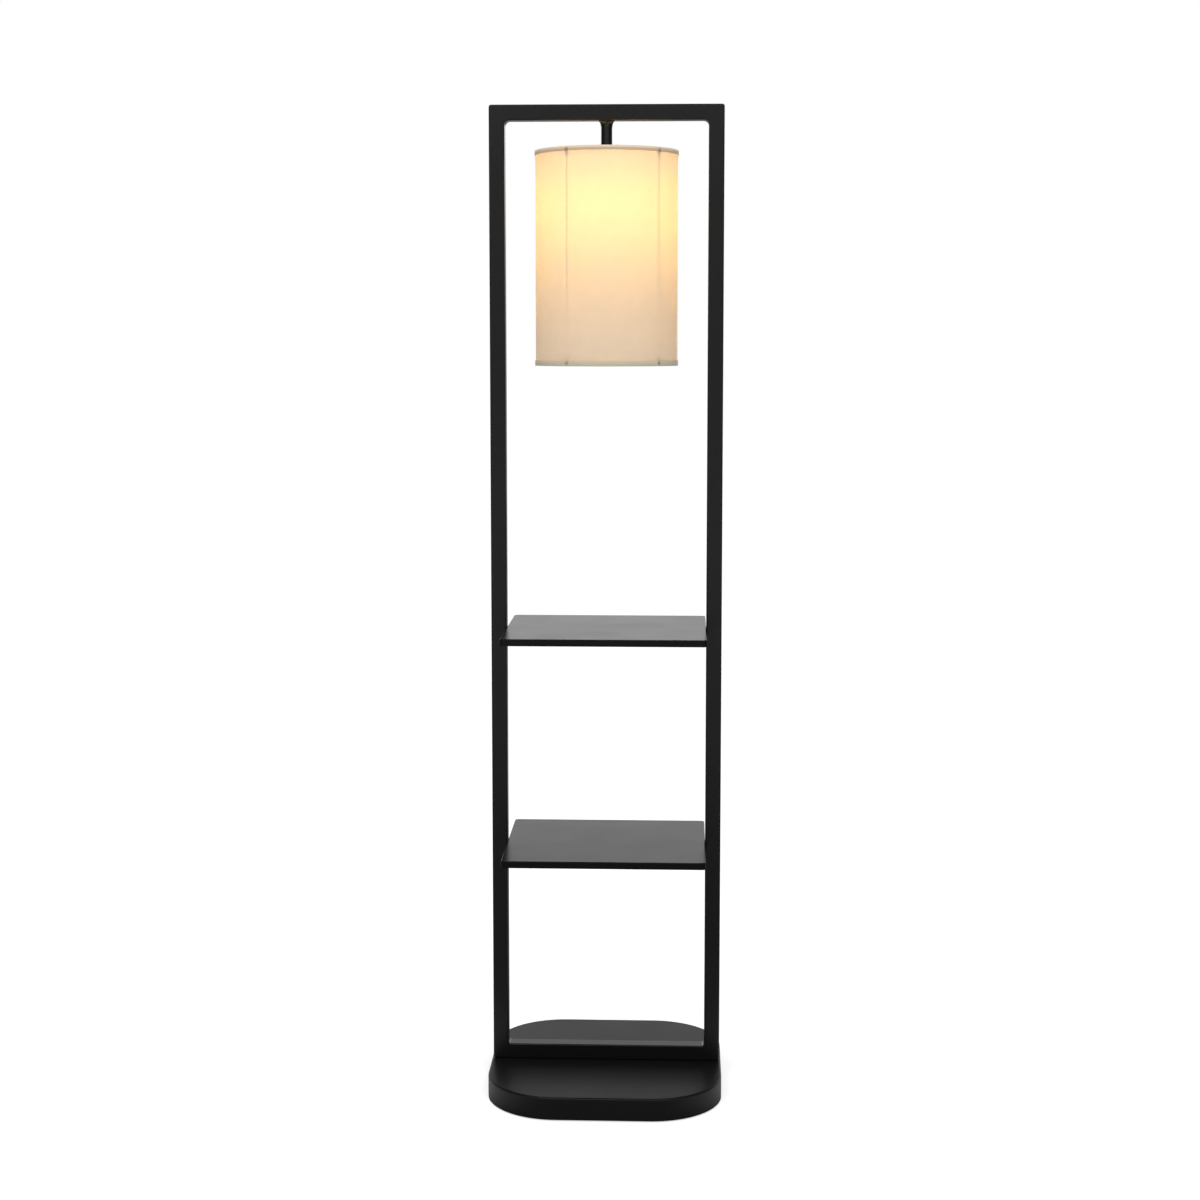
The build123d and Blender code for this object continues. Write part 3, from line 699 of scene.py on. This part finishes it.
class LAMP_OT_make_shade_cloth(bpy.types.Operator):
    """Rolls the cloth drum with its lap seam"""

    bl_idname = "lamp.make_shade_cloth"
    bl_label = "Roll the cloth"

    def execute(self, context):
        shade = context.scene.lamp_shade
        low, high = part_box("shade_skin")
        radius = high.x - DRUM_INSET
        height = high.z - low.z
        drum = open_drum("shade_cloth", DRUM_COLUMNS, radius, height)
        bpy.ops.object.mode_set(mode="EDIT")
        for i in range(1, DRUM_ROWS):
            level = -height / 2 + height * i / DRUM_ROWS
            bpy.ops.mesh.select_all(action="SELECT")
            bpy.ops.mesh.bisect(plane_co=(0, 0, level), plane_no=(0, 0, 1))
        bpy.ops.object.mode_set(mode="OBJECT")
        self.lap_seam(drum, shade, radius)
        self.lay_map(drum, radius, height)
        only_select(drum)
        bpy.ops.transform.translate(value=(0, 0, (low.z + high.z) / 2))
        bpy.ops.object.transform_apply(location=True, rotation=True, scale=True)
        bpy.ops.object.shade_smooth_by_angle(angle=DRUM_SMOOTH)
        cloth = shade_cloth(
            "woven_linen_cream", shade.cloth, CLOTH_LIT, shade.thread, CLOTH_SHEER
        )
        drum.data.materials.append(cloth)
        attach(drum, "shade")
        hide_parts("shade_skin")
        return {"FINISHED"}

    def lap_seam(self, drum, shade, radius):
        """Raises the overlapped strip of cloth."""
        half = shade.seam_width / 2 / radius
        for vertex in drum.data.vertices:
            angle = math.atan2(vertex.co.y, vertex.co.x)
            away = abs((angle - shade.seam_turn + math.pi) % (2 * math.pi) - math.pi)
            vertex.select = away < half
        bpy.ops.object.mode_set(mode="EDIT")
        bpy.ops.mesh.select_mode(type="VERT")
        bpy.ops.transform.shrink_fatten(value=SEAM_RISE)
        bpy.ops.object.mode_set(mode="OBJECT")

    def lay_map(self, drum, radius, height):
        """A map in metres: round the hem and up the drum."""
        mesh = drum.data
        layer = mesh.uv_layers.new(name="cloth")
        for face in mesh.polygons:
            places = corners(mesh, face)
            angles = [math.atan2(co.y, co.x) % (2 * math.pi) for _, co in places]
            wraps = max(angles) - min(angles) > math.pi
            for (loop, co), angle in zip(places, angles):
                if wraps and angle < math.pi:
                    angle += 2 * math.pi
                layer.data[loop].uv = (angle * radius, co.z + height / 2)


class LAMP_OT_fold_hems(bpy.types.Operator):
    """Folds the cloth tapes over the drum's two edges"""

    bl_idname = "lamp.fold_hems"
    bl_label = "Fold the hems"

    def execute(self, context):
        shade = context.scene.lamp_shade
        top_tape = shade_cloth(
            "woven_cotton_tape_top", shade.hem, TAPE_LIT, shade.thread, TAPE_SHEER, TOP_HEM_RING_SHADE
        )
        low_tape = shade_cloth(
            "woven_cotton_tape_low", shade.low_hem, TAPE_LIT, shade.thread, TAPE_SHEER, LOW_HEM_EDGE
        )
        top = self.fold("top_hem", "shade_top_tape", 1, TOP_HEM, top_tape)
        bottom = self.fold("bottom_hem", "shade_bottom_tape", -1, LOW_HEM, low_tape)
        return {"FINISHED"}

    def fold(self, name, node, way, tall, cloth):
        """One tape: a band round the drum, folded in over its edge. way is 1 for the top hem and
        -1 for the bottom one, and tall is how far the band comes along the drum."""
        low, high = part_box(node)
        edge = high.z if way > 0 else low.z
        outer = high.x
        hem = open_drum(name, HEM_COLUMNS, outer, tall, edge - way * tall / 2)
        bpy.ops.object.transform_apply(location=True, rotation=True, scale=True)
        for vertex in hem.data.vertices:
            vertex.select = abs(vertex.co.z - edge) < NEAR
        bpy.ops.object.mode_set(mode="EDIT")
        bpy.ops.mesh.select_mode(type="EDGE")
        bpy.ops.mesh.extrude_region_move()
        inwards = (outer - TAPE_IN) / outer
        bpy.ops.transform.resize(value=(inwards, inwards, 1), center_override=(0, 0, edge))
        lip = (0, 0, -way * TAPE_LIP)
        bpy.ops.mesh.extrude_region_move(TRANSFORM_OT_translate={"value": lip})
        bpy.ops.mesh.select_all(action="SELECT")
        bpy.ops.mesh.normals_make_consistent(inside=False)
        bpy.ops.object.mode_set(mode="OBJECT")
        self.thicken(hem)
        self.lay_map(hem, edge, way, outer)
        hem.data.materials.append(cloth)
        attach(hem, "shade")
        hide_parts(node)
        return hem

    def thicken(self, hem):
        """Gives the tape its thickness, inwards, and rounds its folds."""
        outwards = sum((face.center.xy.dot(face.normal.xy) for face in hem.data.polygons), 0.0)
        solid = hem.modifiers.new("cloth", "SOLIDIFY")
        solid.thickness = TAPE_THICK
        solid.offset = -1.0 if outwards > 0 else 1.0
        bevel = hem.modifiers.new("fold", "BEVEL")
        bevel.width = FOLD_BEVEL
        bevel.segments = FOLD_STEPS
        bevel.limit_method = "ANGLE"
        bevel.angle_limit = FOLD_ANGLE
        only_select(hem)
        bpy.ops.object.modifier_apply(modifier="cloth")
        bpy.ops.object.modifier_apply(modifier="fold")
        bpy.ops.object.shade_smooth_by_angle(angle=HEM_SMOOTH)

    def lay_map(self, hem, edge, way, outer):
        """A map in metres: round the hem, and from the drum's edge."""
        mesh = hem.data
        layer = mesh.uv_layers.get("cloth") or mesh.uv_layers.new(name="cloth")
        for face in mesh.polygons:
            # Faces on the right-hand side keep their signed angles, so that none spans the circle.
            right = abs(math.atan2(face.center.y, face.center.x)) < RIGHT
            for loop, co in corners(mesh, face):
                angle = math.atan2(co.y, co.x)
                angle = angle if right else angle % (2 * math.pi)
                layer.data[loop].uv = (angle * outer, way * (edge - co.z))


# ---------------------------------------------------------------- stage
class LAMP_OT_set_stage(bpy.types.Operator):
    """Lays the pale floor and sets the world, the soft lights and the camera"""

    bl_idname = "lamp.set_stage"
    bl_label = "Set the stage"

    def execute(self, context):
        self.lay_floor()
        self.fill_world(context)
        self.hang_light(context, "left_softbox", (-SOFTBOX_X, SOFTBOX_Y, SOFTBOX_Z))
        self.hang_light(context, "right_softbox", (SOFTBOX_X, SOFTBOX_Y, SOFTBOX_Z))
        self.place_camera(context)
        context.scene.view_settings.view_transform = "Standard"
        return {"FINISHED"}

    def lay_floor(self):
        """Pale paper. What the black coat reflects of it is dim near the lamp, pale far off, and
        pale beside the base, as if white boards lay there."""
        bpy.ops.object.select_all(action="DESELECT")
        bpy.ops.mesh.primitive_plane_add(size=FLOOR_SIZE, location=(0, 0, 0))
        floor = bpy.context.object
        floor.name = "floor"
        material, tree = new_material("matt_paper_sweep")
        rays = add_node(tree, "ShaderNodeLightPath").outputs
        place = axes(tree, object_place(tree))
        aside = calc(tree, "ABSOLUTE", place["X"])
        ahead = ease(tree, place["Y"], *FLOOR_AHEAD)
        behind = ease(tree, place["Y"], *FLOOR_BEHIND)
        start = ease(tree, aside, *FLANK_START)
        end = ease(tree, aside, *FLANK_END)
        front = ease(tree, place["Y"], *FLANK_FRONT)
        far = calc(tree, "MAXIMUM", ahead, behind)
        flanks = calc(tree, "MINIMUM", calc(tree, "MINIMUM", start, end), front)
        reflected = calc(tree, "MAXIMUM", far, flanks)
        white = blend(tree, rays["Is Glossy Ray"], FLOOR_WHITE, reflected)
        grey = add_node(tree, "ShaderNodeCombineXYZ", inputs={axis: white for axis in "XYZ"})
        paper = add_node(
            tree, "ShaderNodeBsdfDiffuse", inputs={"Color": grey.outputs["Vector"]}
        )
        lift = calc(tree, "MULTIPLY", rays["Is Camera Ray"], FLOOR_LIFT)
        pale = add_node(
            tree, "ShaderNodeEmission", inputs={"Color": (1, 1, 1, 1), "Strength": lift}
        )
        both = add_node(
            tree,
            "ShaderNodeAddShader",
            inputs={0: paper.outputs["BSDF"], 1: pale.outputs["Emission"]},
        )
        surface(tree, both.outputs["Shader"])
        floor.data.materials.append(material)

    def fill_world(self, context):
        """White to the camera, an even soft light on the lamp, and bright behind but dim in front
        to what the black coat reflects, as in a studio with a lit backdrop."""
        world = bpy.data.worlds.new("studio")
        context.scene.world = world
        world.use_nodes = True
        tree = world.node_tree
        tree.nodes.clear()
        rays = add_node(tree, "ShaderNodeLightPath").outputs
        way = axes(tree, add_node(tree, "ShaderNodeTexCoord").outputs["Generated"])
        foot = ease(tree, way["Z"], *BACKDROP_FOOT)
        top = ease(tree, way["Z"], *BACKDROP_TOP)
        height = ease(tree, way["Z"], *ROOM_HEIGHT)
        sides = ease(tree, calc(tree, "ABSOLUTE", way["X"]), *ROOM_SIDES)
        room = calc(tree, "MULTIPLY", height, sides)
        backdrop = calc(tree, "MULTIPLY", foot, top)
        reflected = blend(tree, ease(tree, way["Y"], *WORLD_BEHIND), room, backdrop)
        soft = blend(tree, rays["Is Glossy Ray"], WORLD_SOFT, reflected)
        seen = calc(tree, "MAXIMUM", rays["Is Camera Ray"], rays["Is Transmission Ray"])
        strength = blend(tree, seen, soft, 1.0)
        sky = add_node(
            tree, "ShaderNodeBackground", inputs={"Color": (1, 1, 1, 1), "Strength": strength}
        )
        add_node(tree, "ShaderNodeOutputWorld", inputs={"Surface": sky.outputs["Background"]})

    def hang_light(self, context, name, place):
        """A softbox at that place, aimed at the middle of the floor lamp."""
        data = bpy.data.lights.new(name, "AREA")
        data.shape = "SQUARE"
        data.size = SOFTBOX_SIZE
        data.energy = SOFTBOX_WATTS
        lamp = bpy.data.objects.new(name, data)
        context.scene.collection.objects.link(lamp)
        lamp.location = place
        towards = Vector(SOFTBOX_TARGET) - Vector(place)
        lamp.rotation_euler = towards.to_track_quat("-Z", "Y").to_euler()

    def place_camera(self, context):
        """The camera that was fitted to the photograph's edges."""
        data = bpy.data.cameras.new("camera")
        data.sensor_width = CAMERA_SENSOR
        data.lens = CAMERA_LENS
        data.shift_y = CAMERA_SHIFT
        camera = bpy.data.objects.new("camera", data)
        context.scene.collection.objects.link(camera)
        camera.location = CAMERA_PLACE
        tilt = math.radians(90 - CAMERA_DOWN)
        camera.rotation_euler = Euler((tilt, 0, math.radians(CAMERA_TURN)))
        context.scene.camera = camera


# ---------------------------------------------------------------- the add-on
STEPS = (
    LAMP_OT_coat_frame,
    LAMP_OT_coat_shelves,
    LAMP_OT_finish_base,
    LAMP_OT_finish_fixings,
    LAMP_OT_finish_holder,
    LAMP_OT_light_bulb,
    LAMP_OT_finish_shade_frame,
    LAMP_OT_make_shade_cloth,
    LAMP_OT_fold_hems,
    LAMP_OT_set_stage,
)


class LAMP_PT_panel(bpy.types.Panel):
    """Sizes, colours and steps of the lamp"""

    bl_idname = "LAMP_PT_panel"
    bl_label = "Shelf floor lamp"
    bl_space_type = "VIEW_3D"
    bl_region_type = "UI"
    bl_category = "Floor Lamp"

    def draw(self, context):
        scene = context.scene
        for group in (scene.lamp_paint, scene.lamp_shade, scene.lamp_light):
            for name in group.__annotations__:
                self.layout.prop(group, name)
        for step in STEPS:
            self.layout.operator(step.bl_idname)


GROUPS = {"lamp_paint": LampPaint, "lamp_shade": LampShade, "lamp_light": LampLight}


def register():
    """Registers the settings, the steps and the panel."""
    for kind in (*GROUPS.values(), *STEPS, LAMP_PT_panel):
        bpy.utils.register_class(kind)
    for name, kind in GROUPS.items():
        setattr(bpy.types.Scene, name, bpy.props.PointerProperty(type=kind))


def unregister():
    """Removes the settings, the steps and the panel."""
    for name in GROUPS:
        delattr(bpy.types.Scene, name)
    for kind in reversed((*GROUPS.values(), *STEPS, LAMP_PT_panel)):
        bpy.utils.unregister_class(kind)


def main():
    """Runs every step."""
    register()
    for step in STEPS:
        area, action = step.bl_idname.split(".")
        getattr(getattr(bpy.ops, area), action)()


if __name__ == "__main__":
    main()
